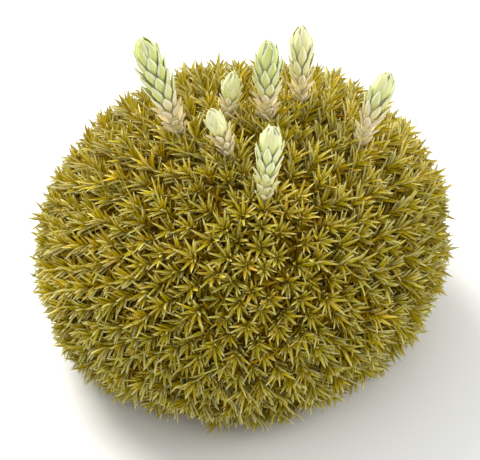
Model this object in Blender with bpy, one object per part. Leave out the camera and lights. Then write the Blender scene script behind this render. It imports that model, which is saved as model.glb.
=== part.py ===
"""A rounded clump of leafy moss with seven pale scaly shoots growing out of its top.

The clump is cut off flat at the ground and stands on the cut.
Units are metres, +Z is up, and the origin is the middle of the cut at ground level.
"""
import math

import bmesh
import bpy
import numpy as np
from mathutils import Matrix, Vector

# The cushion's outer form over its leaf tips: an ellipsoid turned about the vertical
# and cut off flat below its middle.
HALF_LENGTH = 0.0762
HALF_WIDTH = 0.0699
HALF_HEIGHT = 0.0586
TURN = math.radians(41.0)
MIDDLE_HEIGHT = 0.036

# The leafy moss shoots, one point of the surface each, spread evenly over the whole ellipsoid. Their
# tips lie up to a small depth below the form, their leaves rise a little above the tips, and the
# surface dips between each two of them.
MOSS_SHOOTS = 960
PLACE_WANDER = 0.13
DEEPEST_TIP = 0.0038
LEAF_RISE = 0.0012
DIP_DEPTH = 0.0062
SEED = 5

# The points grow out to their full length over this height above the cut, so the cut's edge is clean.
RELIEF_HEIGHT = 0.004
EDGE_DEPTH = 0.0030

# Round the foot of each pale shoot the moss keeps this radius free, but for a ring of shoots of its own.
COLLAR_FREE_RADIUS = 0.0090
COLLAR_RADIUS = 0.0058
COLLAR_SHOOTS = 6
COLLAR_CLEARANCE = 0.0046
COLLAR_TURN_WANDER = 0.15
COLLAR_TIP_DEPTHS = (0.0006, 0.0022)

# The pale shoots: the foot's place on the cushion, the lean from upright towards +X
# and towards +Y in degrees, the length that stands clear of the moss and the width
# over the points of the scales.
PALE_SHOOTS = (
    ("pale_shoot_1", (-0.0232, -0.0006), (-17.5, 3.5), 0.0359, 0.0108),
    ("pale_shoot_2", (-0.0048, 0.0048), (6.5, 8.0), 0.0132, 0.0082),
    ("pale_shoot_3", (-0.0062, -0.0138), (-18.5, 2.5), 0.0146, 0.0088),
    ("pale_shoot_4", (0.0080, 0.0038), (1.0, 5.5), 0.0267, 0.0104),
    ("pale_shoot_5", (0.0073, -0.0306), (5.0, 1.0), 0.0256, 0.0096),
    ("pale_shoot_6", (0.0196, 0.0168), (0.5, 9.0), 0.0250, 0.0096),
    ("pale_shoot_7", (0.0412, 0.0018), (18.0, 7.0), 0.0254, 0.0096),
)
# Five scales go round a shoot in each tier. The core under them swells over the lower part of the
# shoot to a share of the scales' reach, and the scales draw in over the top tiers.
RING_POINTS = 2 * 5
TIER_SPACING = 0.0034
LOWEST_TIER = -0.0025
POINT_RISE = 1.2
NOTCH_RISE = 0.5
SWELLING_SHARE = 0.35
CORE_SHARE = 0.76
NARROWING_START = 0.65
TOP_NARROWING = 0.42
STEM_RADIUS = 0.0017
STEM_TOP = -0.0040
STEM_DEPTH = 0.0140
SOCKET_RADIUS = 0.00215
SOCKET_DEPTH = 0.0143
SOCKET_OVERSHOOT = 0.0100
SOCKET_SIDES = 12

GOLDEN_ANGLE = math.pi * (3.0 - math.sqrt(5.0))
FORM_TURN = Matrix.Rotation(TURN, 3, "Z")


def clear_scene():
    for item in list(bpy.data.objects):
        bpy.data.objects.remove(item, do_unlink=True)


def new_collection(name):
    collection = bpy.data.collections.new(name)
    bpy.context.scene.collection.children.link(collection)
    return collection


def plain_material(name, colour, roughness):
    material = bpy.data.materials.new(name)
    material.use_nodes = True
    shader = material.node_tree.nodes["Principled BSDF"]
    shader.inputs["Base Color"].default_value = (*colour, 1.0)
    shader.inputs["Roughness"].default_value = roughness
    shader.inputs["Metallic"].default_value = 0.0
    return material


def new_object(name, mesh, collection, material=None):
    item = bpy.data.objects.new(name, mesh)
    collection.objects.link(item)
    if material:
        mesh.materials.append(material)
    return item


def mesh_from(work, name):
    """Close a bmesh with its faces turned outwards and hand it back as a mesh."""
    bmesh.ops.recalc_face_normals(work, faces=work.faces)
    mesh = bpy.data.meshes.new(name)
    work.to_mesh(mesh)
    work.free()
    return mesh


def form_point(direction):
    """The point of the outer form that belongs to a unit direction."""
    stretched = Vector((direction.x * HALF_LENGTH, direction.y * HALF_WIDTH, direction.z * HALF_HEIGHT))
    return FORM_TURN @ stretched + Vector((0.0, 0.0, MIDDLE_HEIGHT))


def form_normal(direction):
    """The outward normal of the outer form at the point of a unit direction."""
    slope = Vector((direction.x / HALF_LENGTH, direction.y / HALF_WIDTH, direction.z / HALF_HEIGHT))
    return (FORM_TURN @ slope).normalized()


def form_direction(x, y):
    """The unit direction of the point of the upper form that lies above x, y."""
    flat = FORM_TURN.inverted() @ Vector((x, y, 0.0))
    across = flat.x / HALF_LENGTH
    along = flat.y / HALF_WIDTH
    return Vector((across, along, math.sqrt(1.0 - across * across - along * along)))


class PaleShoot:
    """Where one pale shoot stands: its foot on the form, its axis and its size."""

    def __init__(self, name, foot, lean, length, width):
        self.name = name
        self.length = length
        self.reach = width / 2.0
        self.direction = form_direction(*foot)
        self.foot = form_point(self.direction)
        across, along = (math.tan(math.radians(angle)) for angle in lean)
        self.axis = Vector((across, along, 1.0)).normalized()

    def placement(self):
        """The matrix that stands a piece built up the Z axis on the foot."""
        turn = Vector((0.0, 0.0, 1.0)).rotation_difference(self.axis)
        return Matrix.Translation(self.foot) @ turn.to_matrix().to_4x4()


def tip_from(direction, depth):
    """The place of a shoot's tip that lies at a depth below the form."""
    return form_point(direction) - form_normal(direction) * depth


def even_moss_shoots(draw, pale_shoots):
    """Directions and leaf depths of moss shoots spread evenly, each wandered a little from its place."""
    spacing = math.sqrt(4.0 * math.pi / MOSS_SHOOTS)
    shoots = []
    for number in range(MOSS_SHOOTS):
        height = 1.0 - (2.0 * number + 1.0) / MOSS_SHOOTS
        ring = math.sqrt(1.0 - height * height)
        angle = number * GOLDEN_ANGLE
        wander = Vector(draw.normal(0.0, PLACE_WANDER * spacing, 3))
        direction = (Vector((ring * math.cos(angle), ring * math.sin(angle), height)) + wander).normalized()
        depth = draw.uniform(0.0, DEEPEST_TIP)
        tip = tip_from(direction, depth)
        nearest = min((tip - shoot.foot).length for shoot in pale_shoots)
        if tip.z < MIDDLE_HEIGHT or nearest >= COLLAR_FREE_RADIUS:
            shoots.append((direction, depth - LEAF_RISE))
    return shoots


def collar_moss_shoots(draw, pale_shoots):
    """Directions and tip depths of the moss shoots that stand in a ring round each pale shoot."""
    shoots = []
    for pale in pale_shoots:
        first = pale.axis.cross(Vector((0.0, 0.0, 1.0) if abs(pale.axis.z) < 0.9 else (1.0, 0.0, 0.0)))
        first.normalize()
        second = pale.axis.cross(first)
        for index in range(COLLAR_SHOOTS):
            wander = draw.uniform(-COLLAR_TURN_WANDER, COLLAR_TURN_WANDER)
            angle = (index + wander) * 2.0 * math.pi / COLLAR_SHOOTS
            place = pale.foot + (math.cos(angle) * first + math.sin(angle) * second) * COLLAR_RADIUS
            direction = form_direction(place.x, place.y)
            depth = draw.uniform(*COLLAR_TIP_DEPTHS)
            tip = tip_from(direction, depth)
            if min((tip - other.foot).length for other in pale_shoots) > COLLAR_CLEARANCE:
                shoots.append((direction, depth))
    return shoots


def build_cushion(pale_shoots, collection, material):
    """The moss cushion: one solid with a point for each moss shoot and a dip between each two
    neighbours, cut off flat at the ground."""
    draw = np.random.default_rng(SEED)
    work = bmesh.new()
    depth = work.verts.layers.float.new("depth")
    shoots = even_moss_shoots(draw, pale_shoots) + collar_moss_shoots(draw, pale_shoots)
    for direction, tip_depth in shoots:
        work.verts.new(direction)[depth] = tip_depth
    for shoot in pale_shoots:
        work.verts.new(shoot.direction)[depth] = DIP_DEPTH
    bmesh.ops.convex_hull(work, input=work.verts[:])

    halved = bmesh.ops.subdivide_edges(work, edges=work.edges[:], cuts=1, use_grid_fill=True)
    for item in halved["geom_inner"]:
        if isinstance(item, bmesh.types.BMVert):
            item[depth] = DIP_DEPTH
    bmesh.ops.triangulate(work, faces=work.faces[:])

    for vertex in work.verts:
        direction = vertex.co.normalized()
        relief = max(0.0, min(1.0, form_point(direction).z / RELIEF_HEIGHT))
        vertex.co = tip_from(direction, EDGE_DEPTH + (vertex[depth] - EDGE_DEPTH) * relief)

    everything = work.verts[:] + work.edges[:] + work.faces[:]
    bmesh.ops.bisect_plane(work, geom=everything, plane_co=(0.0, 0.0, 0.0),
                           plane_no=(0.0, 0.0, -1.0), clear_outer=True)
    rim = [edge for edge in work.edges if edge.is_boundary]
    bmesh.ops.edgenet_fill(work, edges=rim)
    return new_object("moss_cushion", mesh_from(work, "moss_cushion"), collection, material)


def build_socket_cutter(shoot, collection):
    """The hole for a pale shoot's stem, a little wider than the stem and a little deeper."""
    height = SOCKET_DEPTH + SOCKET_OVERSHOOT
    middle = Matrix.Translation((0.0, 0.0, height / 2.0 - SOCKET_DEPTH))
    work = bmesh.new()
    bmesh.ops.create_cone(work, cap_ends=True, segments=SOCKET_SIDES, radius1=SOCKET_RADIUS,
                          radius2=SOCKET_RADIUS, depth=height, matrix=middle)
    cutter = new_object(shoot.name + "_socket", mesh_from(work, shoot.name + "_socket"), collection)
    cutter.matrix_world = shoot.placement()
    cutter.hide_render = True
    cutter.display_type = "WIRE"
    return cutter


def ring_points(radii, heights, turn):
    """One ring of a pale shoot, started the given number of half scales round the axis.
    Its points take the two radii and the two heights in turn."""
    points = []
    for number in range(RING_POINTS):
        angle = 2.0 * math.pi * (number + turn) / RING_POINTS
        radius = radii[number % 2]
        points.append(Vector((radius * math.cos(angle), radius * math.sin(angle), heights[number % 2])))
    return points


def pale_shoot_rings(shoot):
    """The rings of a pale shoot from its buried end up, each with its turn in half scales.
    The stem is straight up to its top. A tier of scales is a ring on the core and a ring of
    scale points, and the next tier is turned by half a scale."""
    tiers = round((shoot.length - LOWEST_TIER) / TIER_SPACING)
    spacing = (shoot.length - LOWEST_TIER) / (tiers + 0.5)
    rings = [(0, ring_points((STEM_RADIUS, STEM_RADIUS), (-STEM_DEPTH, -STEM_DEPTH), 0)),
             (0, ring_points((STEM_RADIUS, STEM_RADIUS), (STEM_TOP, STEM_TOP), 0))]
    for tier in range(tiers):
        share = (tier + 0.5) / tiers
        narrowing = TOP_NARROWING * max(0.0, (share - NARROWING_START) / (1.0 - NARROWING_START)) ** 2
        reach = shoot.reach * (1.0 - narrowing)
        swelling = math.sin(math.pi / 2.0 * min(1.0, share / SWELLING_SHARE))
        core = STEM_RADIUS + (reach * CORE_SHARE - STEM_RADIUS) * swelling
        low = LOWEST_TIER + tier * spacing
        heights = (low + spacing * POINT_RISE, low + spacing * NOTCH_RISE)
        rings.append((tier, ring_points((core, core), (low, low), tier)))
        rings.append((tier, ring_points((reach, core), heights, tier)))
    top = LOWEST_TIER + tiers * spacing
    rings.append((tiers, ring_points((STEM_RADIUS, STEM_RADIUS), (top, top), tiers)))
    return rings


def join_rings(work, low, high, step):
    """Faces between two rings, the higher one starting a number of points further round."""
    for index in range(RING_POINTS):
        after = (index + 1) % RING_POINTS
        low_left = low[(index + step) % RING_POINTS]
        low_right = low[(after + step) % RING_POINTS]
        work.faces.new((low_left, low_right, high[after], high[index]))


def build_pale_shoot(shoot, collection, material):
    """One pale shoot: a stem that stands in its socket and tiers of overlapping pointed scales."""
    work = bmesh.new()
    rings = [(turn, [work.verts.new(point) for point in points]) for turn, points in pale_shoot_rings(shoot)]
    work.faces.new(reversed(rings[0][1]))
    for (low_turn, low), (high_turn, high) in zip(rings, rings[1:]):
        join_rings(work, low, high, high_turn - low_turn)
    top = rings[-1][1]
    tip = work.verts.new((0.0, 0.0, shoot.length))
    for index, vertex in enumerate(top):
        work.faces.new((vertex, top[(index + 1) % RING_POINTS], tip))
    bmesh.ops.triangulate(work, faces=work.faces[:])
    item = new_object(shoot.name, mesh_from(work, shoot.name), collection, material)
    item.matrix_world = shoot.placement()
    return item


def main():
    clear_scene()
    clump = new_collection("moss_clump")
    cutters = new_collection("cutters")
    moss = plain_material("moss_leaves", (0.26, 0.19, 0.03), 0.8)
    pale = plain_material("pale_scales", (0.62, 0.66, 0.36), 0.6)

    pale_shoots = [PaleShoot(*row) for row in PALE_SHOOTS]
    cushion = build_cushion(pale_shoots, clump, moss)
    for shoot in pale_shoots:
        build_pale_shoot(shoot, clump, pale)
        cut = cushion.modifiers.new(shoot.name + "_socket", "BOOLEAN")
        cut.operation = "DIFFERENCE"
        cut.solver = "EXACT"
        cut.object = build_socket_cutter(shoot, cutters)


main()
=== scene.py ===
"""The looks of the moss clump: leafy moss shoots over a mat of old growth, and pale scaly shoots.

Everything is in metres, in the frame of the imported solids, with +Z up.
"""
import math

import bpy
import numpy as np
from mathutils import Matrix, Vector, noise


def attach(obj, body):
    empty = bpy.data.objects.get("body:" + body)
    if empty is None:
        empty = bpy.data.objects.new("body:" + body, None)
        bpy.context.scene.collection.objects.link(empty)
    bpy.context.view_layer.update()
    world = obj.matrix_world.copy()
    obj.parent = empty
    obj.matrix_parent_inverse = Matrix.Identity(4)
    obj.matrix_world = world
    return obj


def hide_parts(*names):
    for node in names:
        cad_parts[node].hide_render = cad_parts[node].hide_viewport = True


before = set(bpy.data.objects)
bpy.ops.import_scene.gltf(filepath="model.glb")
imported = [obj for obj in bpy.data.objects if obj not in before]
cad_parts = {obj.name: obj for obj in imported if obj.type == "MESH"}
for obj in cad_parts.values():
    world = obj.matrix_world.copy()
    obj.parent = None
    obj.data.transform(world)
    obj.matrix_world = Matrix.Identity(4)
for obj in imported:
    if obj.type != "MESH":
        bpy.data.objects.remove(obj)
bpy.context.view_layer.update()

# The cushion's outer form over its leaf tips, as in the solids: an ellipsoid turned about
# the vertical and cut off flat below its middle.
HALF_LENGTH = 0.0762
HALF_WIDTH = 0.0699
HALF_HEIGHT = 0.0586
TURN = math.radians(41.0)
MIDDLE = np.array([0.0, 0.0, 0.036])

# The moss shoots: how many go round the whole form, where they point away from, how far each
# one wanders from its even place, leans and lies below the form, and their sizes. Below
# GROUND_BEND, leaves and stems bend up so that they stay above the ground.
MOSS_SHOOTS = 960
PLACE_SEED = 5
LOOKS_SEED = 11
SHOOT_SOURCE = np.array([0.006, -0.0255, 0.0495])
PLACE_WANDER = 0.13
LEAN_WANDER = 0.06
DEEPEST_TIP = 0.0038
LOWEST_TIP = 0.0015
SHOOT_SIZES = (0.87, 1.14)
GROUND_BEND = 0.0022
MOSS_PIECES = 5

# Each ring of leaves down a moss shoot: depth below the tip, number of leaves, angle of
# the leaf's foot from the stem in degrees, leaf length, and painted shade from 0 (none) to 3,
# more on the lower rings, which lie deeper in the clump.
LEAF_RINGS = (
    (0.0034, 3, 25.0, 0.0037, 0),
    (0.0051, 8, 33.0, 0.0078, 0),
    (0.0063, 5, 33.0, 0.0069, 0),
    (0.0083, 5, 35.0, 0.0068, 0),
    (0.0104, 4, 37.0, 0.0068, 1),
    (0.0125, 4, 40.0, 0.0068, 1),
)
# Single leaves differ in turn, angle, bend and roll, all in degrees, in depth, and by a factor
# in length and width. LEAF_BEND is how far a leaf bends outward from its foot to its tip.
LEAF_BEND = 13.0573
LEAF_TURN_WANDER = 6.5
LEAF_ANGLE_WANDER = 4.5
LEAF_BEND_WANDER = 7.0
LEAF_ROLL = 19.0
LEAF_DEPTH_WANDER = 0.0003
LEAF_LENGTH_FACTORS = (0.83, 1.17)
LEAF_WIDTH_SHARE = 0.120
LEAF_WIDTH_FACTORS = (0.9, 1.1)
LEAF_THICKNESS = 0.00028
# The rows of points along a leaf, as shares of its length, and for each row the leaf's width
# and how steeply its halves fold up from the midline. Old leaves have one row fewer.
LEAF_ROWS = np.array([0.0, 0.18, 0.44, 0.76])
LEAF_WIDTHS = np.array([0.45, 0.84, 1.0, 0.52])
LEAF_FOLDS = np.radians([48.0, 42.0, 36.0, 30.0])
LEAF_COLUMNS = np.array([-1.0, 0.0, 1.0])
ALL_LEAF_ROWS = [0, 1, 2, 3]
OLD_LEAF_ROWS = [0, 2, 3]
# A leaf's hue goes from 0, olive, to 6, golden, by broad patches, by height and by chance, and
# a few leaves have the orange hue 7. A leaf may by chance be a shade darker, and high up it may be
# a shade lighter: painted light on the top of the clump.
MIDDLE_HUE = 3.0
LAST_HUE = 6.0
ACCENT_HUE = 7.0
ACCENT_SHARE = 0.002
HUE_PATCHES_PER_METRE = 38.0
HUE_PATCH_SPAN = 1.3
HUE_MIDDLE_HEIGHT = 0.05
HUE_HEIGHT_RATE = 22.0
SHOOT_HUE_WANDER = 0.55
LEAF_HUE_WANDER = 0.8
DARKER_SHARE = 0.25
PAINTED_LIGHT_FROM = 0.045
PAINTED_LIGHT_RATE = 12.0

# Old dull leaves between the stems: how many go round the whole form, how far they wander
# from their even places, how deep they start, their sizes, their angles, bends and roll in
# degrees, their hues, and the share of them that is one step short of the darkest painted
# shade, which they take as they lie deep in the clump.
OLD_LEAVES = 8600
OLD_LEAF_WANDER = 0.03
OLD_LEAF_DEPTHS = (0.0060, 0.0100)
OLD_LEAF_LENGTHS = (0.0050, 0.0075)
OLD_LEAF_HALF_WIDTH = 0.00070
OLD_LEAF_WIDTH_FACTORS = (0.9, 1.15)
OLD_LEAF_ANGLES = (45.0, 80.0)
OLD_LEAF_BENDS = (4.0, 20.0)
OLD_LEAF_ROLL = 22.0
OLD_LEAF_HUES = (1, 6)
OLD_LIGHTER_SHARE = 0.6

# The stem of a moss shoot: its radii at the foot and the top, how far both are below the tip,
# and the least share of its length that the ground leaves of it.
STEM_RADII = (0.00055, 0.00044)
STEM_TOP = 0.0042
STEM_FOOT = 0.0210
STEM_LEAST_SHARE = 0.05
STEM_SIDES = 6

# The pale shoots, as in the solids: foot on the form, lean towards +X and +Y in degrees,
# clear length, width over the points of the scales, and here also the greenness, from 0,
# and the share of the length that is tan. Below 0, only scales sunk in the moss are tan.
PALE_SHOOTS = (
    ("pale_shoot_1", (-0.0232, -0.0006), (-17.5, 3.5), 0.0359, 0.0108, 1.0, 0.30),
    ("pale_shoot_2", (-0.0048, 0.0048), (6.5, 8.0), 0.0132, 0.0082, 0.4, 0.20),
    ("pale_shoot_3", (-0.0062, -0.0138), (-18.5, 2.5), 0.0146, 0.0088, 0.3, 0.35),
    ("pale_shoot_4", (0.0080, 0.0038), (1.0, 5.5), 0.0267, 0.0104, 1.0, 0.28),
    ("pale_shoot_5", (0.0073, -0.0306), (5.0, 1.0), 0.0256, 0.0096, 0.5, -0.10),
    ("pale_shoot_6", (0.0196, 0.0168), (0.5, 9.0), 0.0250, 0.0096, 0.0, 0.25),
    ("pale_shoot_7", (0.0412, 0.0018), (18.0, 7.0), 0.0254, 0.0096, 0.6, 0.42),
)
# The scales of a pale shoot stand in tiers on its stem and their tips lie on a cob with a domed
# top. They spread more in the lowest tiers, and a few tiers are sunk in the moss.
TIER_SPACING = 0.0038
TIER_SCALES = 6
LEAST_TIER_STEPS = 3
LOWEST_TIER = -0.0048
SUNK_DEPTH = 0.0056
SUNK_NARROWING = 0.28
SPREAD_HEIGHT = 0.0100
SPREAD_SHORTENING = 0.50
SPREAD_STRAIGHTENING = 0.65
SPREAD_THINNING = 0.12
DOME_HEIGHT = 0.0075
DOME_SHARE = 0.45
DOME_ROUNDNESS = 0.64
TOP_TIER_DEPTH = 0.0100
# The closed bud in the dome: how far the feet are above those of the top tier, how far the
# tips are below the shoot's top, their radius as a share of the reach, and the number of scales.
BUD_TIERS = ((0.0012, 0.0007, 0.24, 6), (0.0022, 0.0000, 0.06, 5))
SCALE_RISE = 0.0088
SCALE_BULGE = math.radians(10.0)
DOME_BULGE = math.radians(26.0)
CORE_SHARE = 0.62
SCALE_FOOT_SHARE = 0.9
SCALE_WIDTH_SHARE = 0.38
SCALE_THICKNESS = 0.00030
SCALE_ROWS = np.array([0.0, 0.14, 0.30, 0.46, 0.63, 0.80, 0.92])
SCALE_WIDTHS = np.array([0.45, 0.72, 0.95, 1.0, 0.82, 0.48, 0.19])
SCALE_COLUMNS = np.linspace(-1.0, 1.0, 7)
SCALE_CUP = math.radians(42.0)
# Single scales differ in turn, angle, bend and roll, all in degrees, in height, and by a
# factor in length and width.
SCALE_TURN_WANDER = 3.0
SCALE_ANGLE_WANDER = 1.5
SCALE_BEND_WANDER = 2.5
SCALE_ROLL = 4.0
SCALE_HEIGHT_WANDER = 0.0002
SCALE_LENGTH_FACTORS = (0.97, 1.03)
SCALE_WIDTH_FACTORS = (0.96, 1.04)
# The hues of scales: tan low on the shoot, cream above that, and greener towards the top. Tan
# fades out over TAN_FADE, and TAN_DEPTH lowers its end, because a scale rises above its foot.
TAN_HUE = 0.4
CREAM_HUE = 3.0
GREEN_HUE_SPAN = 4.0
GREEN_AT_FOOT = 0.45
GREEN_RISE = 0.75
SCALE_HUE_WANDER = 0.4
TAN_DEPTH = 0.0030
TAN_FADE = 0.0060
# The stem of a pale shoot, and the top end of the core that it swells to under the scales.
PALE_STEM_RADIUS = 0.0016
PALE_STEM_DEPTH = 0.0138
PALE_STEM_SIDES = 10
CORE_TOP_DEPTH = 0.0005
CORE_TOP_RADIUS = 0.0007

# The moss close round a pale shoot: the radius that no leaf of the moss comes into, from a
# height on it up, how far the moss shoots round it stand from its axis, and how many there are.
PALE_CLEAR_RADIUS = 0.0033
PALE_CLEAR_FROM = -0.0015
COLLAR_RADIUS = 0.0058
COLLAR_SHOOTS = 6
COLLAR_FREE_RADIUS = 0.0090
COLLAR_CLEARANCE = 0.0046
COLLAR_TURN_WANDER = 0.15
COLLAR_TIP_DEPTHS = (0.0006, 0.0022)
COLLAR_LEAN = 0.12

# The mat inside: its depth under the leaf tips, which lessens towards the ground, its rows and
# rings of points, and the bumps of its side, which are lower at the ground, and underside.
MAT_DEPTH = 0.0104
MAT_RIM_DEPTH = 0.0080
MAT_FLARE_HEIGHT = 0.012
MAT_FLOOR = 0.0004
MAT_ROUND = 144
MAT_ROWS = 44
MAT_UNDER_RINGS = 12
MAT_BUMP_HEIGHT = 0.0014
MAT_BUMPS_PER_METRE = 230.0
MAT_GROUND_BUMPS = 0.3
UNDER_BUMP_HEIGHT = 0.0009
UNDER_BUMPS_PER_METRE = 300.0
UNDER_BUMP_LEVEL = 4.0

# The cut ends of stems that stand out of the mat's flat underside. They stay inside its rim by
# CUT_STEM_INSET times the rim's depth.
CUT_STEMS = 420
CUT_STEM_LENGTH = 0.0016
CUT_STEM_RADII = (0.00062, 0.00055)
CUT_STEM_INSET = 1.4
CUT_STEM_WANDER = 0.0007
CUT_STEM_LEAN = 0.12

# Leaf colours come in a grid of tiles: across it the hue, up it the shade, which on moss
# leaves is painted shade. A leaf's upper side takes the lower half of the rows and its
# underside the upper half.
TILES = 8
LAST_TILE = TILES - 1
SHADES = TILES // 2
LAST_SHADE = SHADES - 1
TILE_MARGIN = 0.07

# Colours are screen values from 0 to 255. Those of the moss leaves: hues from olive by golden
# to orange, the painted shade that deeper leaves turn to, what undersides turn to, the painted
# highlight, the margins, and the painted shade at the foot.
LEAF_HUES = (
    (0.0, (160, 151, 2)),
    (0.28, (186, 173, 6)),
    (0.55, (206, 190, 12)),
    (0.85, (225, 195, 26)),
    (1.0, (222, 170, 30)),
)
LEAF_PAINTED_SHADE = (143, 102, 2)
LEAF_UNDERSIDE = (156, 118, 4)
LEAF_PAINTED_HIGHLIGHT = (247, 249, 204)
LEAF_MARGIN = (116, 82, 4)
LEAF_FOOT_PAINTED_SHADE = (146, 109, 8)
# The pale scales: hearts and edges from tan by cream to green, and feet and outlines at the
# two ends of that.
SCALE_HEARTS = (
    (0.0, (246, 231, 194)),
    (0.29, (246, 236, 190)),
    (0.43, (242, 238, 180)),
    (0.71, (228, 233, 164)),
    (1.0, (212, 222, 130)),
)
SCALE_EDGES = (
    (0.0, (250, 242, 220)),
    (0.4, (250, 248, 225)),
    (1.0, (244, 247, 222)),
)
TAN_FOOT = (238, 214, 168)
GREEN_FOOT = (212, 222, 124)
TAN_OUTLINE = (150, 124, 88)
GREEN_OUTLINE = (116, 120, 76)
# The mat from its darker to its lighter patches, and its dark specks.
MAT_PATCHES = (
    (0.25, (122, 92, 4)),
    (0.5, (152, 118, 8)),
    (0.75, (182, 150, 18)),
)
MAT_SPECKS = (102, 74, 2)
# The stems at the top and at the foot, and the two shades of the floor.
MOSS_STEM_COLOURS = ((146, 116, 30), (58, 40, 10))
PALE_STEM_COLOURS = ((226, 224, 166), (206, 188, 136))
FLOOR_COLOURS = ((247, 247, 246), (245, 245, 245))

# How strongly leaves and scales reflect at their surface; 0.5 would be glossy plastic.
SHINE = 0.06

# The floor is a large square just under the ground, so that it doesn't touch the cut stems.
FLOOR_HALF = 3.0
FLOOR_GAP = 0.0002

# The lights are discs turned to the clump: name, place, power in watts and colour. Even light
# comes from all round as well.
LIGHTS = (
    ("key_light", (-0.56, 0.68, 0.84), 19.0, (1.0, 0.98, 0.93)),
    ("fill_light", (1.00, 0.10, 0.40), 4.5, (0.98, 0.985, 0.98)),
)
LIGHT_SIZE = 0.8
LIGHT_TARGET = (0.0, 0.0, 0.05)
AIR_COLOUR = (1.0, 1.0, 1.0, 1.0)
AIR_STRENGTH = 0.80

# The camera looks down at the clump's middle, as the photo does. PIXEL is the real size of
# one pixel at the middle of the clump, and that middle is at MIDDLE_COLUMN and MIDDLE_ROW.
FRAME_WIDTH = 480
FRAME_HEIGHT = 460
PIXEL = 0.150 / 427
MIDDLE_COLUMN = 243
MIDDLE_ROW = 242
ELEVATION = math.radians(42.0)
CAMERA_DISTANCE = 1.0
CAMERA_CLIP = (0.01, 20.0)
SENSOR = 36.0

# Axes whose height is more than STEEP of their length count as upright in side_vectors.
STEEP = 0.9
GOLDEN_ANGLE = math.pi * (3.0 - math.sqrt(5.0))
FORM_AXES = np.array([HALF_LENGTH, HALF_WIDTH, HALF_HEIGHT])
FORM_TURN = np.array(Matrix.Rotation(TURN, 3, "Z"))
draw = np.random.default_rng(LOOKS_SEED)


def unit(vectors):
    """Vectors brought to a length of 1."""
    return vectors / np.linalg.norm(vectors, axis=-1, keepdims=True)


def form_points(directions):
    """Points of the outer form that belong to unit directions."""
    return (directions * FORM_AXES) @ FORM_TURN.T + MIDDLE


def form_normals(directions):
    """Outward normals of the outer form at the points of unit directions."""
    return unit((directions / FORM_AXES) @ FORM_TURN.T)


def side_vectors(axes):
    """Two unit vectors square to each axis and to each other."""
    helper = np.where(np.abs(axes[..., 2:3]) < STEEP, [0.0, 0.0, 1.0], [1.0, 0.0, 0.0])
    first = unit(np.cross(axes, helper))
    return first, np.cross(axes, first)


class PaleShoot:
    """Where one pale shoot stands: its foot on the form, its axis and its size."""

    def __init__(self, name, foot, lean, length, width, greenness, tan_share):
        self.name = name
        self.length = length
        self.reach = width / 2.0
        self.greenness = greenness
        self.tan_share = tan_share
        flat = (FORM_TURN.T @ np.array([foot[0], foot[1], 0.0])) / FORM_AXES
        self.foot = form_points(np.array([flat[0], flat[1], math.sqrt(1.0 - flat @ flat)]))
        across, along = np.tan(np.radians(lean))
        self.axis = unit(np.array([across, along, 1.0]))

    def from_axis(self, points):
        """Distance of points from the shoot's axis, and their height up it from the foot."""
        offsets = points - self.foot
        heights = offsets @ self.axis
        return np.linalg.norm(offsets - heights[..., None] * self.axis, axis=-1), heights


pale_shoots = [PaleShoot(*row) for row in PALE_SHOOTS]


def screen(colour):
    """A colour of 0 to 255 screen values, as the linear values that shaders take."""
    shares = [value / 255.0 for value in colour]
    return tuple(
        share / 12.92 if share <= 0.04045 else ((share + 0.055) / 1.055) ** 2.4 for share in shares
    )


class Nodes:
    """Short calls that add shader nodes to a material and join them."""

    def __init__(self, name):
        self.material = bpy.data.materials.new(name)
        self.material.use_nodes = True
        self.tree = self.material.node_tree
        self.shader = self.tree.nodes["Principled BSDF"]

    def put(self, socket, value):
        """Join a socket to another one, or give it a value, which may be a screen colour."""
        if isinstance(value, bpy.types.NodeSocket):
            self.tree.links.new(value, socket)
        elif isinstance(value, tuple) and socket.type == "RGBA":
            socket.default_value = (*screen(value), 1.0)
        else:
            socket.default_value = value

    def add(self, kind, inputs=(), **settings):
        node = self.tree.nodes.new(kind)
        for key, value in settings.items():
            setattr(node, key, value)
        for index, value in inputs:
            self.put(node.inputs[index], value)
        return node

    def math(self, operation, first, second=0.0):
        inputs = ((0, first), (1, second))
        return self.add("ShaderNodeMath", inputs, operation=operation).outputs[0]

    def less(self, value):
        """What value leaves of 1."""
        return self.math("SUBTRACT", 1.0, value)

    def times(self, first, second):
        return self.math("MULTIPLY", first, second)

    def plus(self, first, second):
        return self.math("ADD", first, second)

    def ease(self, value, low, high):
        """0 below low, 1 above high and a smooth step between them."""
        inputs = (("Value", value), ("From Min", low), ("From Max", high))
        return self.add("ShaderNodeMapRange", inputs, interpolation_type="SMOOTHSTEP").outputs[0]

    def waves(self, value, count):
        """A value from -1 to 1 that goes up and down count times while value goes from 0 to 1."""
        return self.math("SINE", self.times(value, 2.0 * math.pi * count))

    def mix(self, share, first, second):
        """The colour first with a share of second laid over it."""
        inputs = ((0, share), (6, first), (7, second))
        return self.add("ShaderNodeMix", inputs, data_type="RGBA").outputs[2]

    def ramp(self, share, stops):
        """The colour at a share between stops of a place and a screen colour each."""
        node = self.add("ShaderNodeValToRGB", ((0, share),))
        elements = node.color_ramp.elements
        while len(elements) < len(stops):
            elements.new(0.5)
        for element, (place, colour) in zip(elements, stops):
            element.position = place
            element.color = (*screen(colour), 1.0)
        return node.outputs[0]

    def noise(self, vector, scale, detail):
        inputs = (("Vector", vector), ("Scale", scale), ("Detail", detail))
        return self.add("ShaderNodeTexNoise", inputs).outputs["Fac"]

    def surface(self, colour, roughness, height, strength, distance):
        """Give the material its colour, roughness and fine relief."""
        self.put(self.shader.inputs["Base Color"], colour)
        self.put(self.shader.inputs["Roughness"], roughness)
        self.put(self.shader.inputs["Specular IOR Level"], SHINE)
        inputs = (("Strength", strength), ("Distance", distance), ("Height", height))
        bump = self.add("ShaderNodeBump", inputs)
        self.put(self.shader.inputs["Normal"], bump.outputs[0])
        return self.material


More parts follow.
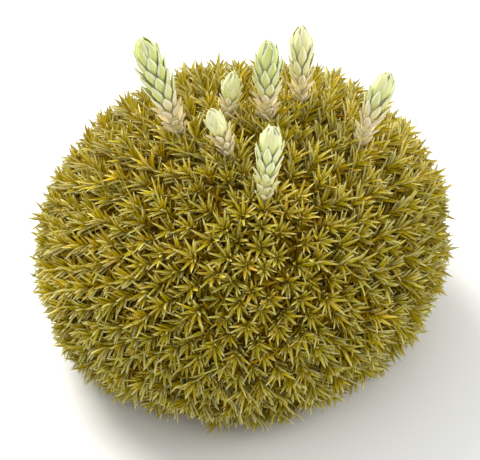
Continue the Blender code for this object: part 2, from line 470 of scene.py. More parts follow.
def tile_places(nodes):
    """The tile's column, the place across it, its row and the place along it, all from 0 to 1."""
    uv = nodes.add("ShaderNodeUVMap", uv_map="OFBake").outputs[0]
    split = nodes.add("ShaderNodeSeparateXYZ", ((0, uv),)).outputs
    places = []
    for value in (split[0], split[1]):
        scaled = nodes.times(value, TILES)
        cell = nodes.math("DIVIDE", nodes.math("FLOOR", scaled), LAST_TILE)
        inner = nodes.math("SUBTRACT", nodes.math("FRACT", scaled), TILE_MARGIN)
        places += [cell, nodes.math("DIVIDE", inner, 1.0 - 2.0 * TILE_MARGIN)]
    return places


def from_midline(nodes, across):
    """0 down the middle of a leaf and 1 at its margins."""
    return nodes.times(nodes.math("ABSOLUTE", nodes.math("SUBTRACT", across, 0.5)), 2.0)


def moss_leaf_material():
    """Olive to golden leaves with dark margins, painted shade on deeper leaves and at the foot, and a
    painted highlight at the tip and down one side.
    """
    nodes = Nodes("moss_leaf")
    column, across, row, along = tile_places(nodes)
    hue = nodes.ramp(column, LEAF_HUES)
    underside = nodes.math("GREATER_THAN", row, 0.5)
    painted_shade = nodes.math("SUBTRACT", row, nodes.times(underside, SHADES / LAST_TILE))
    painted_shade = nodes.times(painted_shade, LAST_TILE / LAST_SHADE)
    # Painted shade: leaves of the darker rows, the deeper ones, turn towards brown.
    colour = nodes.mix(nodes.times(painted_shade, 0.75), hue, LEAF_PAINTED_SHADE)
    colour = nodes.mix(nodes.times(underside, 0.15), colour, LEAF_UNDERSIDE)

    # A painted highlight: a strip between the midline and one margin, and the tip, both fainter on
    # leaves with painted shade.
    highlight_strip = nodes.times(nodes.ease(across, 0.46, 0.54), nodes.less(nodes.ease(across, 0.72, 0.84)))
    tip = nodes.ease(along, 0.55, 1.0)
    light = nodes.times(highlight_strip, nodes.plus(0.40, nodes.times(tip, 0.36)))
    light = nodes.math("MAXIMUM", light, nodes.times(tip, 0.28))
    light = nodes.times(light, nodes.math("MAXIMUM", nodes.less(nodes.times(painted_shade, 1.3)), 0.0))
    colour = nodes.mix(light, colour, LEAF_PAINTED_HIGHLIGHT)

    margin = nodes.times(nodes.ease(from_midline(nodes, across), 0.74, 0.92), 0.90)
    colour = nodes.mix(margin, colour, LEAF_MARGIN)
    # Painted shade at the leaf's foot, deep in the shoot, stronger on leaves with more painted shade.
    foot = nodes.less(nodes.ease(along, 0.02, 0.42))
    foot = nodes.times(foot, nodes.plus(0.02, nodes.times(painted_shade, 0.60)))
    colour = nodes.mix(foot, colour, LEAF_FOOT_PAINTED_SHADE)
    roughness = nodes.plus(0.42, nodes.times(painted_shade, 0.3))
    return nodes.surface(colour, roughness, nodes.waves(across, 9.0), 0.25, 0.00004)


def pale_scale_material():
    """Scales with a green heart, whitish margins and a thin dark outline, tan low on the shoot."""
    nodes = Nodes("pale_scale")
    column, across, row, along = tile_places(nodes)
    green = nodes.ease(column, 0.1, 0.6)
    sideways = from_midline(nodes, across)
    to_margin = nodes.ease(nodes.plus(sideways, nodes.times(along, 0.25)), 0.40, 1.05)
    hearts = nodes.ramp(column, SCALE_HEARTS)
    colour = nodes.mix(to_margin, hearts, nodes.ramp(column, SCALE_EDGES))

    foot_colour = nodes.mix(green, TAN_FOOT, GREEN_FOOT)
    foot = nodes.less(nodes.ease(along, 0.05, 0.5))
    colour = nodes.mix(nodes.times(foot, 0.35), colour, foot_colour)

    # The outline is drawn along both margins and fades towards the tip.
    towards_tip = nodes.times(nodes.times(along, along), 0.75)
    outline = nodes.times(nodes.ease(sideways, 0.80, 0.92), nodes.less(towards_tip))
    colour = nodes.mix(outline, colour, nodes.mix(green, TAN_OUTLINE, GREEN_OUTLINE))
    colour = nodes.mix(nodes.times(row, 0.10), colour, foot_colour)
    roughness = nodes.plus(0.38, nodes.times(to_margin, 0.2))
    return nodes.surface(colour, roughness, nodes.waves(across, 11.0), 0.2, 0.00005)


def stem_material(name, top, foot):
    """Ribbed stems whose colour runs from the top one to the foot one."""
    nodes = Nodes(name)
    _, across, row, along = tile_places(nodes)
    ribs = nodes.waves(across, 4.0)
    colour = nodes.mix(along, foot, top)
    colour = nodes.mix(nodes.times(nodes.plus(ribs, 1.0), 0.15), colour, foot)
    roughness = nodes.plus(0.55, nodes.times(row, 0.2))
    return nodes.surface(colour, roughness, ribs, 0.3, 0.0001)


def mat_material():
    """The olive-brown felt of old stems and leaves inside the clump, in patches with specks."""
    nodes = Nodes("moss_mat")
    place = nodes.add("ShaderNodeTexCoord").outputs["Object"]
    coarse = nodes.noise(place, 160.0, 5.0)
    fine = nodes.noise(place, 900.0, 3.0)
    specks = nodes.times(nodes.ease(fine, 0.44, 0.58), 0.75)
    colour = nodes.mix(specks, nodes.ramp(coarse, MAT_PATCHES), MAT_SPECKS)
    roughness = nodes.plus(0.75, nodes.times(coarse, 0.2))
    return nodes.surface(colour, roughness, fine, 0.6, 0.0006)


def floor_material():
    """A pale matt floor."""
    nodes = Nodes("studio_floor")
    place = nodes.add("ShaderNodeTexCoord").outputs["Object"]
    grain = nodes.noise(place, 30.0, 2.0)
    return nodes.surface(nodes.mix(grain, *FLOOR_COLOURS), 0.9, grain, 0.0, 0.0001)


class BladeShape:
    """A closed blade swept along its midline: rows of points round it and one point at its tip.

    A row runs over the upper side from the left margin to the right and back underneath. The
    side and height places of its points are shares of the blade's half-width in that row.
    """

    def __init__(self, rows, widths, columns, sides, heights, thickness, creases):
        self.rows = rows
        self.widths = widths
        self.columns = columns
        self.back = list(range(len(columns) - 2, 0, -1))
        self.sides = sides
        self.heights = heights
        self.thickness = thickness
        self.creases = creases
        self.round = 2 * len(columns) - 2
        self.size = len(rows) * self.round + 1
        self.faces()

    def faces(self):
        """Triangles of one blade, and for each of their corners the place across and along."""
        columns = len(self.columns)
        across = np.concatenate((self.columns, self.columns[self.back])) / 2.0 + 0.5
        across = np.append(np.tile(across, len(self.rows)), 0.5)
        along = np.append(np.repeat(self.rows, self.round), 1.0)
        triangles = []
        under = []
        for index in range(self.round):
            after = (index + 1) % self.round
            below = index >= columns - 1
            for row in range(len(self.rows) - 1):
                low = row * self.round
                high = low + self.round
                triangles.append((low + index, high + index, high + after))
                triangles.append((low + index, high + after, low + after))
                under += [below, below]
            last = (len(self.rows) - 1) * self.round
            triangles.append((last + index, self.size - 1, last + after))
            under.append(below)
        for index in range(columns - 1):
            opposite = -index % self.round
            triangles.append((index, index + 1, opposite))
            under.append(True)
            if 0 < index < columns - 2:
                triangles.append((index + 1, opposite - 1, opposite))
                under.append(True)
        self.triangles = np.array(triangles)
        self.under = np.array(under)
        self.corner_places = np.stack((across, along), axis=-1)[self.triangles]

    def points(self, blades):
        """Points of many blades at once. Each is placed and shaped by one row of each array."""
        shares = np.append(self.rows, 1.0)
        foot_angles = blades["angle"][:, None]
        bends = blades["bend"][:, None]
        angles = foot_angles + bends * shares
        up = blades["length"][:, None] * (np.sin(angles) - np.sin(foot_angles)) / bends
        out = blades["length"][:, None] * (np.cos(foot_angles) - np.cos(angles)) / bends
        axis = blades["axis"][:, None, :]
        outward = blades["outward"][:, None, :]
        side = np.cross(axis, outward)
        middles = blades["foot"][:, None, :] + up[..., None] * axis + out[..., None] * outward
        normal = np.sin(angles)[..., None] * axis - np.cos(angles)[..., None] * outward
        turn = blades["roll"][:, None, None]
        rolled_side = np.cos(turn) * side + np.sin(turn) * normal
        rolled_normal = np.cos(turn) * normal - np.sin(turn) * side

        widths = blades["half_width"][:, None] * self.widths
        inner = slice(0, len(self.rows))
        upper = (
            middles[:, inner, None, :]
            + (widths[..., None] * self.sides)[..., None] * rolled_side[:, inner, None, :]
            + (widths[..., None] * self.heights)[..., None] * rolled_normal[:, inner, None, :]
        )
        body = self.thickness * (1.0 - self.columns[self.back] ** 2)
        lower = upper[:, :, self.back, :] - body[:, None] * rolled_normal[:, inner, None, :]
        rounds = np.concatenate((upper, lower), axis=2).reshape(len(middles), -1, 3)
        return np.concatenate((rounds, middles[:, -1:, :]), axis=1)

    def sharp(self, edges, count):
        """Which edges of count joined blades are sharp: the creases and the foot's outline."""
        first = edges.min(axis=1)
        second = edges.max(axis=1)
        own_first = first % self.size
        own_second = second % self.size
        lengthwise = own_first // self.round != own_second // self.round
        creased = np.isin(own_first % self.round, self.creases) & lengthwise
        diagonal = (own_second < self.size - 1) & (own_first % self.round != own_second % self.round)
        at_foot = own_second < self.round
        return ((creased & ~diagonal) | at_foot) & (second < count * self.size)


def keeled_leaf(chosen_rows):
    """A leaf whose halves fold up from its midline, with the chosen ones of its rows."""
    folds = LEAF_FOLDS[chosen_rows][:, None]
    return BladeShape(
        LEAF_ROWS[chosen_rows], LEAF_WIDTHS[chosen_rows], LEAF_COLUMNS,
        np.cos(folds) * LEAF_COLUMNS,
        np.sin(folds) * np.abs(LEAF_COLUMNS),
        LEAF_THICKNESS, range(2 * len(LEAF_COLUMNS) - 2),
    )


def cupped_scale():
    """A scale whose rows are arcs, hollow towards the stem."""
    arc = SCALE_CUP * SCALE_COLUMNS
    return BladeShape(
        SCALE_ROWS, SCALE_WIDTHS, SCALE_COLUMNS,
        np.sin(arc) / SCALE_CUP,
        (1.0 - np.cos(arc)) / SCALE_CUP,
        SCALE_THICKNESS, (0, len(SCALE_COLUMNS) - 1),
    )


moss_leaf_shape = keeled_leaf(ALL_LEAF_ROWS)
old_leaf_shape = keeled_leaf(OLD_LEAF_ROWS)
pale_scale_shape = cupped_scale()


def named_arrays(rows):
    """Rows of one blade each, as one array for each of a blade's values."""
    names = (
        "foot", "axis", "outward", "length", "half_width", "angle", "bend", "roll", "column", "row",
    )
    return {name: np.array(values) for name, values in zip(names, zip(*rows))}


def tile_number(value, last):
    """The whole number nearest to a value, from 0 to last."""
    return min(last, max(0, round(value)))


def tiled(places, columns, rows):
    """Places across and along moved into the tile of each column and row."""
    inner = TILE_MARGIN + places * (1.0 - 2.0 * TILE_MARGIN)
    return (inner + np.stack((columns, rows), axis=-1)) / TILES


def blade_mesh_parts(shape, blades):
    """Points, triangles and texture places of many blades."""
    points = shape.points(blades)
    count = len(points)
    triangles = shape.triangles[None] + (np.arange(count) * shape.size)[:, None, None]
    columns = np.broadcast_to(blades["column"][:, None, None], triangles.shape)
    rows = blades["row"][:, None, None] + SHADES * shape.under[None, :, None]
    rows = np.broadcast_to(rows, triangles.shape)
    places = tiled(shape.corner_places[None], columns, rows)
    return points.reshape(-1, 3), triangles.reshape(-1, 3), places.reshape(-1, 2)


def tube_parts(feet, tops, foot_radius, top_radius, sides, row):
    """Points, triangles and texture places of closed straight tubes from feet to tops."""
    count = len(feet)
    axes = unit(tops - feet)
    first, second = side_vectors(axes)
    turns = np.arange(sides) * 2.0 * math.pi / sides
    circle = (np.cos(turns)[None, :, None] * first[:, None, :]
              + np.sin(turns)[None, :, None] * second[:, None, :])
    low = feet[:, None, :] + foot_radius * circle
    high = tops[:, None, :] + top_radius * circle
    points = np.concatenate((low, high, feet[:, None, :], tops[:, None, :]), axis=1)
    triangles = []
    places = []
    for index in range(sides):
        after = (index + 1) % sides
        left = index / sides
        right = (index + 1) / sides
        triangles += [
            (index, after, sides + after),
            (index, sides + after, sides + index),
            (after, index, 2 * sides),
            (sides + index, sides + after, 2 * sides + 1),
        ]
        places += [
            ((left, 0.0), (right, 0.0), (right, 1.0)),
            ((left, 0.0), (right, 1.0), (left, 1.0)),
            ((right, 0.0), (left, 0.0), (0.5, 0.0)),
            ((left, 1.0), (right, 1.0), (0.5, 1.0)),
        ]
    size = points.shape[1]
    joined = np.array(triangles)[None] + (np.arange(count) * size)[:, None, None]
    columns = np.broadcast_to((np.arange(count) % TILES)[:, None, None], joined.shape)
    rows = np.full(joined.shape, row)
    texture = tiled(np.array(places)[None], columns, rows)
    return points.reshape(-1, 3), joined.reshape(-1, 3), texture.reshape(-1, 2)


def new_object(name, data):
    """A new object of a mesh, light or camera, linked into the scene."""
    made = bpy.data.objects.new(name, data)
    bpy.context.collection.objects.link(made)
    return made


def plain_object(name, points, faces, material):
    """A new object of points and faces in one material."""
    mesh = bpy.data.meshes.new(name)
    mesh.from_pydata(points, [], faces)
    mesh.materials.append(material)
    return new_object(name, mesh)


def make_piece(name, parts, materials):
    """One object from several lots of points, triangles and texture places, a material each."""
    points = []
    triangles = []
    places = []
    slots = []
    start = 0
    for index, (own_points, own_triangles, own_places) in enumerate(parts):
        points.append(own_points)
        triangles.append(own_triangles + start)
        places.append(own_places)
        slots.append(np.full(len(own_triangles), index))
        start += len(own_points)
    points = np.concatenate(points)
    triangles = np.concatenate(triangles)
    mesh = bpy.data.meshes.new(name)
    mesh.vertices.add(len(points))
    mesh.vertices.foreach_set("co", points.ravel())
    mesh.loops.add(triangles.size)
    mesh.loops.foreach_set("vertex_index", triangles.ravel())
    mesh.polygons.add(len(triangles))
    mesh.polygons.foreach_set("loop_start", np.arange(0, triangles.size, 3))
    mesh.polygons.foreach_set("material_index", np.concatenate(slots))
    mesh.uv_layers.new(name="OFBake")
    mesh.uv_layers["OFBake"].uv.foreach_set("vector", np.concatenate(places).ravel())
    for material in materials:
        mesh.materials.append(material)
    mesh.update(calc_edges=True)
    mesh.validate()
    mesh.shade_smooth()
    return new_object(name, mesh)


def sharpen(piece, shape, count):
    """Mark the sharp edges of the count blades that a piece begins with."""
    mesh = piece.data
    edges = np.empty(len(mesh.edges) * 2, dtype=np.int32)
    mesh.edges.foreach_get("vertices", edges)
    sharp = shape.sharp(edges.reshape(-1, 2), count)
    layer = mesh.attributes.new("sharp_edge", "BOOLEAN", "EDGE")
    layer.data.foreach_set("value", sharp)


def stand_for(piece, node):
    """Let a piece ride on the body and take the place of its solid."""
    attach(piece, "root")
    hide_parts(node)


def above_ground(points):
    """Points with all heights below GROUND_BEND eased up so that none goes under the ground."""
    bent = points.copy()
    heights = points[..., 2]
    eased = GROUND_BEND * np.exp(np.minimum(heights - GROUND_BEND, 0.0) / GROUND_BEND)
    bent[..., 2] = np.where(heights > GROUND_BEND, heights, eased)
    return bent


def spiral_direction(index, count):
    """One of count directions spread evenly over a ball, from the top down."""
    height = 1.0 - (2.0 * index + 1.0) / count
    ring = math.sqrt(1.0 - height * height)
    turn = index * GOLDEN_ANGLE
    return np.array([ring * math.cos(turn), ring * math.sin(turn), height])


def from_feet(point):
    """Distance of a point from the nearest foot of a pale shoot."""
    return min(np.linalg.norm(point - shoot.foot) for shoot in pale_shoots)


def moss_shoot_places():
    """Tips and axes of the moss shoots, from the top of the clump down.

    The solid of the cushion has its points at the same tips, drawn in the same order.
    """
    places = np.random.default_rng(PLACE_SEED)
    spacing = math.sqrt(4.0 * math.pi / MOSS_SHOOTS)
    tips = []
    axes = []
    for index in range(MOSS_SHOOTS):
        wander = places.normal(0.0, PLACE_WANDER * spacing, 3)
        direction = unit(spiral_direction(index, MOSS_SHOOTS) + wander)
        tip = form_points(direction) - form_normals(direction) * places.uniform(0.0, DEEPEST_TIP)
        on_collar = tip[2] > MIDDLE[2] and from_feet(tip) < COLLAR_FREE_RADIUS
        if tip[2] > LOWEST_TIP and not on_collar:
            tips.append(tip)
            axes.append(unit(unit(tip - SHOOT_SOURCE) + draw.normal(0.0, LEAN_WANDER, 3)))
    for shoot in pale_shoots:
        first, second = side_vectors(shoot.axis[None])
        for index in range(COLLAR_SHOOTS):
            wander = places.uniform(-COLLAR_TURN_WANDER, COLLAR_TURN_WANDER)
            turn = (index + wander) * 2.0 * math.pi / COLLAR_SHOOTS
            outward = math.cos(turn) * first[0] + math.sin(turn) * second[0]
            flat = (shoot.foot + outward * COLLAR_RADIUS)[:2] @ FORM_TURN[:2, :2] / FORM_AXES[:2]
            direction = np.array([flat[0], flat[1], math.sqrt(1.0 - flat @ flat)])
            tip = form_points(direction) - form_normals(direction) * places.uniform(*COLLAR_TIP_DEPTHS)
            if from_feet(tip) > COLLAR_CLEARANCE:
                tips.append(tip)
                axes.append(unit(unit(tip - SHOOT_SOURCE) + outward * COLLAR_LEAN))
    order = np.argsort([-tip[2] for tip in tips], kind="stable")
    return np.array(tips)[order], np.array(axes)[order]


def moss_leaves(tips, axes):
    """The leaves of moss shoots, as named arrays."""
    first, second = side_vectors(axes)
    rows = []
    for tip, axis, across, along in zip(tips, axes, first, second):
        start_turn = draw.uniform(0.0, 2.0 * math.pi)
        size = draw.uniform(*SHOOT_SIZES)
        patch = noise.noise(Vector(tip * HUE_PATCHES_PER_METRE)) * HUE_PATCH_SPAN
        golden = patch + (tip[2] - HUE_MIDDLE_HEIGHT) * HUE_HEIGHT_RATE
        golden += draw.normal(0.0, SHOOT_HUE_WANDER)
        # Painted light: the higher a shoot, the more of its leaves are a shade lighter.
        painted_light_share = (tip[2] - PAINTED_LIGHT_FROM) * PAINTED_LIGHT_RATE
        for ring, (depth, count, angle, length, painted_shade) in enumerate(LEAF_RINGS):
            # All rings but the closed one at the tip may have a leaf more or less.
            more = int(draw.integers(-1, 2))
            count += more * (ring > 0)
            for index in range(count):
                turn = start_turn + (index + ring / 2.0) * 2.0 * math.pi / count
                turn += math.radians(draw.normal(0.0, LEAF_TURN_WANDER))
                hue = min(LAST_HUE, MIDDLE_HUE + golden + draw.normal(0.0, LEAF_HUE_WANDER))
                if draw.random() < ACCENT_SHARE:
                    hue = ACCENT_HUE
                # A leaf may be a shade darker by chance, and a shade lighter as painted light.
                chance_and_painted_light = int(draw.random() < DARKER_SHARE) - int(draw.random() < painted_light_share)
                rows.append((
                    tip - axis * (depth * size + draw.normal(0.0, LEAF_DEPTH_WANDER)),
                    axis,
                    math.cos(turn) * across + math.sin(turn) * along,
                    length * size * draw.uniform(*LEAF_LENGTH_FACTORS),
                    LEAF_WIDTH_SHARE * length * size * draw.uniform(*LEAF_WIDTH_FACTORS),
                    math.radians(angle + draw.normal(0.0, LEAF_ANGLE_WANDER)),
                    math.radians(LEAF_BEND + draw.normal(0.0, LEAF_BEND_WANDER)),
                    math.radians(draw.normal(0.0, LEAF_ROLL)),
                    tile_number(hue, LAST_TILE),
                    tile_number(painted_shade + chance_and_painted_light, LAST_SHADE),
                ))
    return named_arrays(rows)


def old_leaves():
    """Old dull leaves between the stems, just above the mat."""
    rows = []
    for index in range(OLD_LEAVES):
        direction = unit(spiral_direction(index, OLD_LEAVES) + draw.normal(0.0, OLD_LEAF_WANDER, 3))
        normal = form_normals(direction)
        foot = form_points(direction) - normal * draw.uniform(*OLD_LEAF_DEPTHS)
        first, second = side_vectors(normal[None])
        turn = draw.uniform(0.0, 2.0 * math.pi)
        rows.append((
            foot,
            normal,
            math.cos(turn) * first[0] + math.sin(turn) * second[0],
            draw.uniform(*OLD_LEAF_LENGTHS),
            OLD_LEAF_HALF_WIDTH * draw.uniform(*OLD_LEAF_WIDTH_FACTORS),
            math.radians(draw.uniform(*OLD_LEAF_ANGLES)),
            math.radians(draw.uniform(*OLD_LEAF_BENDS)),
            math.radians(draw.normal(0.0, OLD_LEAF_ROLL)),
            int(draw.integers(*OLD_LEAF_HUES)),
            # The darkest rows of painted shade, for leaves deep in the clump.
            LAST_SHADE - int(draw.random() < OLD_LIGHTER_SHARE),
        ))
    return named_arrays(rows)


def kept_leaves(leaves):
    """The leaves that start above ground and pass clear of the pale shoots."""
    points = moss_leaf_shape.points(leaves)
    keep = leaves["foot"][:, 2] > 0.0
    for shoot in pale_shoots:
        distances, heights = shoot.from_axis(points)
        clear = np.where(heights > PALE_CLEAR_FROM, PALE_CLEAR_RADIUS, PALE_STEM_RADIUS)
        touching = (distances < clear) & (heights > -PALE_STEM_DEPTH)
        keep &= ~touching.any(axis=1)
    return {name: values[keep] for name, values in leaves.items()}


def build_leaf_piece(name, shape, leaves, material):
    """One piece of those leaves that clear the ground and the pale shoots."""
    leaves = kept_leaves(leaves)
    points, triangles, places = blade_mesh_parts(shape, leaves)
    piece = make_piece(name, [(above_ground(points), triangles, places)], [material])
    sharpen(piece, shape, len(leaves["foot"]))
    stand_for(piece, "moss_cushion")


def evenly_on_disc(count):
    """Evenly spread places on a round disc of radius 1."""
    numbers = np.arange(count)
    radii = np.sqrt((numbers + 0.5) / count)
    turns = numbers * GOLDEN_ANGLE
    return np.stack((radii * np.cos(turns), radii * np.sin(turns)), axis=-1)


def cut_stem_parts():
    """Short cut ends of stems under the mat, flat on the ground."""
    level = math.sqrt(1.0 - (MIDDLE[2] / HALF_HEIGHT) ** 2)
    shares = evenly_on_disc(CUT_STEMS) * (level - MAT_RIM_DEPTH / HALF_WIDTH * CUT_STEM_INSET)
    flat = np.zeros((CUT_STEMS, 3))
    flat[:, :2] = shares * FORM_AXES[:2]
    feet = flat @ FORM_TURN.T
    feet[:, :2] += draw.normal(0.0, CUT_STEM_WANDER, (CUT_STEMS, 2))
    leans = draw.normal(0.0, CUT_STEM_LEAN, (CUT_STEMS, 2))
    tops = feet + np.append(leans, np.ones((CUT_STEMS, 1)), axis=1) * CUT_STEM_LENGTH
    points, triangles, places = tube_parts(feet, tops, *CUT_STEM_RADII, STEM_SIDES, 1)
    # The ring at each foot and its middle, the last point but one, lie on the ground.
    tubes = points.reshape(CUT_STEMS, -1, 3)
    tubes[:, :STEM_SIDES, 2] = 0.0
    tubes[:, -2, 2] = 0.0
    return points, triangles, places


def build_stems(tips, axes, material):
    """The stems of the moss shoots, cut short where they would go into the ground, and the cut
    ends of stems under the mat."""
    feet = tips - axes * STEM_FOOT
    tops = tips - axes * STEM_TOP
    clear = feet[:, 2] > MAT_FLOOR
    low_feet = feet[~clear]
    low_tops = tops[~clear]
    shares = (low_tops[:, 2] - MAT_FLOOR - STEM_RADII[0]) / (low_tops[:, 2] - low_feet[:, 2])
    low_feet = low_tops + (low_feet - low_tops) * np.clip(shares, STEM_LEAST_SHARE, 1.0)[:, None]
    points, triangles, places = tube_parts(low_feet, low_tops, *STEM_RADII, STEM_SIDES, 0)
    parts = [
        tube_parts(feet[clear], tops[clear], *STEM_RADII, STEM_SIDES, 0),
        (above_ground(points), triangles, places),
        cut_stem_parts(),
    ]
    piece = make_piece("moss_stems", parts, [material] * len(parts))
    stand_for(piece, "moss_cushion")


def build_moss(leaf_material, moss_stem_material):
    """The leaves of the moss shoots in several pieces, the old leaves and the stems."""
    tips, axes = moss_shoot_places()
    for number, chosen in enumerate(np.array_split(np.arange(len(tips)), MOSS_PIECES), start=1):
        leaves = moss_leaves(tips[chosen], axes[chosen])
        build_leaf_piece(f"moss_leaves_{number}", moss_leaf_shape, leaves, leaf_material)
    build_leaf_piece("moss_old_leaves", old_leaf_shape, old_leaves(), leaf_material)
    build_stems(tips, axes, moss_stem_material)


def mat_side_point(polar, turn):
    """A point of the mat's side, under the form's point at an angle from the top and a turn."""
    direction = np.array([
        math.sin(polar) * math.cos(turn), math.sin(polar) * math.sin(turn), math.cos(polar),
    ])
    place = form_points(direction)
    share = min(1.0, (place[2] - MAT_FLOOR) / MAT_FLARE_HEIGHT)
    share = share * share * (3.0 - 2.0 * share)
    depth = MAT_RIM_DEPTH + (MAT_DEPTH - MAT_RIM_DEPTH) * share
    bump = MAT_BUMP_HEIGHT * noise.noise(Vector(place * MAT_BUMPS_PER_METRE))
    depth += bump * (MAT_GROUND_BUMPS + (1.0 - MAT_GROUND_BUMPS) * share)
    point = place - form_normals(direction) * depth
    point[2] = max(point[2], MAT_FLOOR)
    return point


def mat_points():
    """The mat's points: its top, rows down its side to the rim, rings in its flat underside and
    the middle of that."""
    lowest = math.acos((MAT_FLOOR - MIDDLE[2]) / HALF_HEIGHT)
    points = [form_points(np.array([0.0, 0.0, 1.0])) - np.array([0.0, 0.0, MAT_DEPTH])]
    for row in range(1, MAT_ROWS + 1):
        for index in range(MAT_ROUND):
            points.append(mat_side_point(lowest * row / MAT_ROWS, 2.0 * math.pi * index / MAT_ROUND))
    for point in points[-MAT_ROUND:]:
        point[2] = MAT_FLOOR
    rim = np.array(points[-MAT_ROUND:])
    for ring in range(1, MAT_UNDER_RINGS):
        for place in rim * (1.0 - ring / MAT_UNDER_RINGS):
            spot = place[:2] * UNDER_BUMPS_PER_METRE
            bump = UNDER_BUMP_HEIGHT * abs(noise.noise(Vector((spot[0], spot[1], UNDER_BUMP_LEVEL))))
            points.append(np.array([place[0], place[1], MAT_FLOOR + bump]))
    points.append(np.array([0.0, 0.0, MAT_FLOOR]))
    return points


def mat_triangles(rings):
    """Triangles over rings of points, from the single point before them to the one after."""
    last = 1 + (rings - 1) * MAT_ROUND
    end = last + MAT_ROUND
    triangles = []
    for index in range(MAT_ROUND):
        after = (index + 1) % MAT_ROUND
        triangles.append((0, 1 + index, 1 + after))
        for ring in range(rings - 1):
            low = 1 + ring * MAT_ROUND
            high = low + MAT_ROUND
            triangles.append((low + index, high + index, high + after))
            triangles.append((low + index, high + after, low + after))
        triangles.append((last + index, end, last + after))
    return triangles


def build_mat(material):
    """The mat: a closed body inside the leaf tips, uneven all over and flat underneath."""
    points = [tuple(point) for point in mat_points()]
    triangles = mat_triangles(MAT_ROWS + MAT_UNDER_RINGS - 1)
    piece = plain_object("moss_mat", points, triangles, material)
    piece.data.shade_smooth()
    stand_for(piece, "moss_cushion")


def cob_radius(shoot, height):
    """How far from the axis the tips of the scales lie at a height: less and less in the dome."""
    dome = min(DOME_HEIGHT, DOME_SHARE * shoot.length)
    into_dome = min(1.0, max(0.0, 1.0 - (shoot.length - height) / dome))
    return shoot.reach * (1.0 - into_dome * into_dome) ** DOME_ROUNDNESS


def core_radius(shoot, height, spread):
    """How thick the core under the scales is at a height: the bare stem where they spread fully,
    and thicker further up."""
    swelling = max(0.0, CORE_SHARE * cob_radius(shoot, height) - PALE_STEM_RADIUS)
    return PALE_STEM_RADIUS + swelling * (1.0 - spread)


def scale_tiers(shoot):
    """Tiers of scales up a pale shoot: height of feet and of tips, radius of the core and of tips,
    spread and count."""
    top_foot = shoot.length - TOP_TIER_DEPTH
    steps = max(LEAST_TIER_STEPS, round((top_foot - LOWEST_TIER) / TIER_SPACING))
    spread_height = min(SPREAD_HEIGHT, shoot.length / 2.0)
    tiers = []
    for height in np.linspace(LOWEST_TIER, top_foot, steps + 1):
        sunk = min(1.0, max(0.0, -height / SUNK_DEPTH))
        spread = max(0.0, 1.0 - max(0.0, height) / spread_height)
        tip = height + SCALE_RISE * (1.0 - SPREAD_SHORTENING * spread)
        core = core_radius(shoot, height, spread)
        radius = cob_radius(shoot, tip) * (1.0 - SUNK_NARROWING * sunk)
        tiers.append((height, tip, core, radius, spread, TIER_SCALES))
    for foot_rise, tip_depth, radius_share, count in BUD_TIERS:
        height = top_foot + foot_rise
        core = core_radius(shoot, height, 0.0)
        tiers.append((height, shoot.length - tip_depth, core, radius_share * shoot.reach, 0.0, count))
    return tiers


def tier_hue(shoot, height):
    """The hue of the scales that start at a height: tan, or cream to green."""
    above_tan = height + TAN_DEPTH - shoot.length * shoot.tan_share
    tan = 1.0 - min(1.0, max(0.0, above_tan / TAN_FADE + 0.5))
    greening = GREEN_AT_FOOT + GREEN_RISE * max(0.0, height) / shoot.length
    green = CREAM_HUE + GREEN_HUE_SPAN * shoot.greenness * greening
    return green * (1.0 - tan) + TAN_HUE * tan


def pale_scales(shoot):
    """The scales of one pale shoot, as named arrays. Each bulges between its foot on the stem and
    its tip on the cob."""
    across, along = side_vectors(shoot.axis[None])
    start_turn = draw.uniform(0.0, 2.0 * math.pi)
    rows = []
    for tier, (height, tip, core, radius, spread, count) in enumerate(scale_tiers(shoot)):
        bulge = SCALE_BULGE * (1.0 - SPREAD_STRAIGHTENING * spread)
        bulge += DOME_BULGE * (1.0 - min(1.0, radius / shoot.reach)) * (1.0 - spread)
        foot_radius = SCALE_FOOT_SHARE * core
        out = radius - foot_radius
        slant = math.atan2(out, tip - height)
        length = math.hypot(out, tip - height) * bulge / math.sin(bulge)
        half_width = SCALE_WIDTH_SHARE * shoot.reach * (1.0 - SPREAD_THINNING * spread)
        for index in range(count):
            turn = start_turn + (index + tier / 2.0) * 2.0 * math.pi / count
            turn += math.radians(draw.normal(0.0, SCALE_TURN_WANDER))
            hue = tier_hue(shoot, height) + draw.normal(0.0, SCALE_HUE_WANDER)
            outward = math.cos(turn) * across[0] + math.sin(turn) * along[0]
            foot = shoot.foot + shoot.axis * (height + draw.normal(0.0, SCALE_HEIGHT_WANDER))
            rows.append((
                foot + outward * foot_radius,
                shoot.axis,
                outward,
                length * draw.uniform(*SCALE_LENGTH_FACTORS),
                half_width * draw.uniform(*SCALE_WIDTH_FACTORS),
                slant + bulge + math.radians(draw.normal(0.0, SCALE_ANGLE_WANDER)),
                -2.0 * bulge + math.radians(draw.normal(0.0, SCALE_BEND_WANDER)),
                math.radians(draw.normal(0.0, SCALE_ROLL)),
                tile_number(hue, LAST_TILE),
                int(draw.integers(0, SHADES)),
            ))
    return named_arrays(rows)


def pale_core_parts(shoot):
    """The stem of a pale shoot and the core under its scales, which swells from tier to tier."""
    places = [(-PALE_STEM_DEPTH, PALE_STEM_RADIUS), (LOWEST_TIER, PALE_STEM_RADIUS)]
    for height, _, core, _, _, _ in scale_tiers(shoot)[1:]:
        places.append((height, core))
    places.append((shoot.length - CORE_TOP_DEPTH, CORE_TOP_RADIUS))
    parts = []
    for (low, low_radius), (high, high_radius) in zip(places, places[1:]):
        foot = (shoot.foot + shoot.axis * low)[None]
        top = (shoot.foot + shoot.axis * high)[None]
        parts.append(tube_parts(foot, top, low_radius, high_radius, PALE_STEM_SIDES, 0))
    return parts


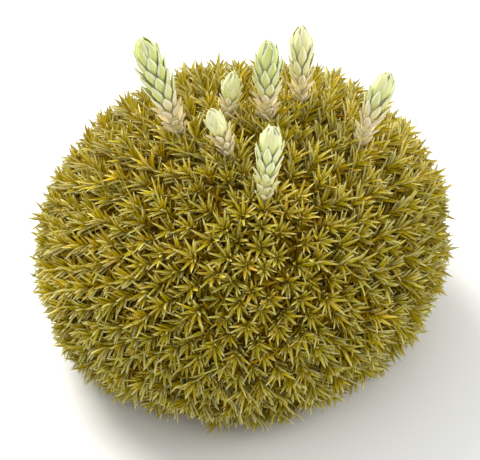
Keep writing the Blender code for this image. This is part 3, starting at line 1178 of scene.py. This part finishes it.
def build_pale_shoots(scale_material, core_material):
    for shoot in pale_shoots:
        scales = pale_scales(shoot)
        blades = blade_mesh_parts(pale_scale_shape, scales)
        core = pale_core_parts(shoot)
        materials = [scale_material] + [core_material] * len(core)
        piece = make_piece(shoot.name + "_scales", [blades] + core, materials)
        sharpen(piece, pale_scale_shape, len(scales["foot"]))
        stand_for(piece, shoot.name)


def build_floor():
    half = FLOOR_HALF
    low = -FLOOR_GAP
    corners = [(-half, -half, low), (half, -half, low), (half, half, low), (-half, half, low)]
    floor = plain_object("studio_floor", corners, [(0, 1, 2, 3)], floor_material())


def aimed(thing, place, target):
    """Put a light or camera at a place and turn it to a target."""
    thing.location = place
    thing.rotation_mode = "QUATERNION"
    thing.rotation_quaternion = (Vector(target) - Vector(place)).to_track_quat("-Z", "Y")
    return thing


def build_lights():
    for name, place, power, colour in LIGHTS:
        light = bpy.data.lights.new(name, "AREA")
        light.shape = "DISK"
        light.size = LIGHT_SIZE
        light.energy = power
        light.color = colour
        aimed(new_object(name, light), place, LIGHT_TARGET)
    air = bpy.data.worlds.new("studio_air")
    air.use_nodes = True
    background = air.node_tree.nodes["Background"]
    background.inputs["Color"].default_value = AIR_COLOUR
    background.inputs["Strength"].default_value = AIR_STRENGTH
    bpy.context.scene.world = air


def build_camera():
    up = np.array([0.0, math.sin(ELEVATION), math.cos(ELEVATION)])
    back = np.array([0.0, -math.cos(ELEVATION), math.sin(ELEVATION)])
    aim = MIDDLE + up * (MIDDLE_ROW - FRAME_HEIGHT / 2.0) * PIXEL
    aim[0] -= (MIDDLE_COLUMN - FRAME_WIDTH / 2.0) * PIXEL
    lens = bpy.data.cameras.new("camera")
    lens.sensor_width = SENSOR
    lens.lens = SENSOR * CAMERA_DISTANCE / (FRAME_WIDTH * PIXEL)
    lens.clip_start, lens.clip_end = CAMERA_CLIP
    camera = new_object("camera", lens)
    bpy.context.scene.camera = aimed(camera, aim + back * CAMERA_DISTANCE, aim)


def main():
    build_moss(moss_leaf_material(), stem_material("moss_stem", *MOSS_STEM_COLOURS))
    build_mat(mat_material())
    build_pale_shoots(pale_scale_material(), stem_material("pale_core", *PALE_STEM_COLOURS))
    build_floor()
    build_lights()
    build_camera()
    bpy.context.scene.view_settings.view_transform = "Standard"


main()
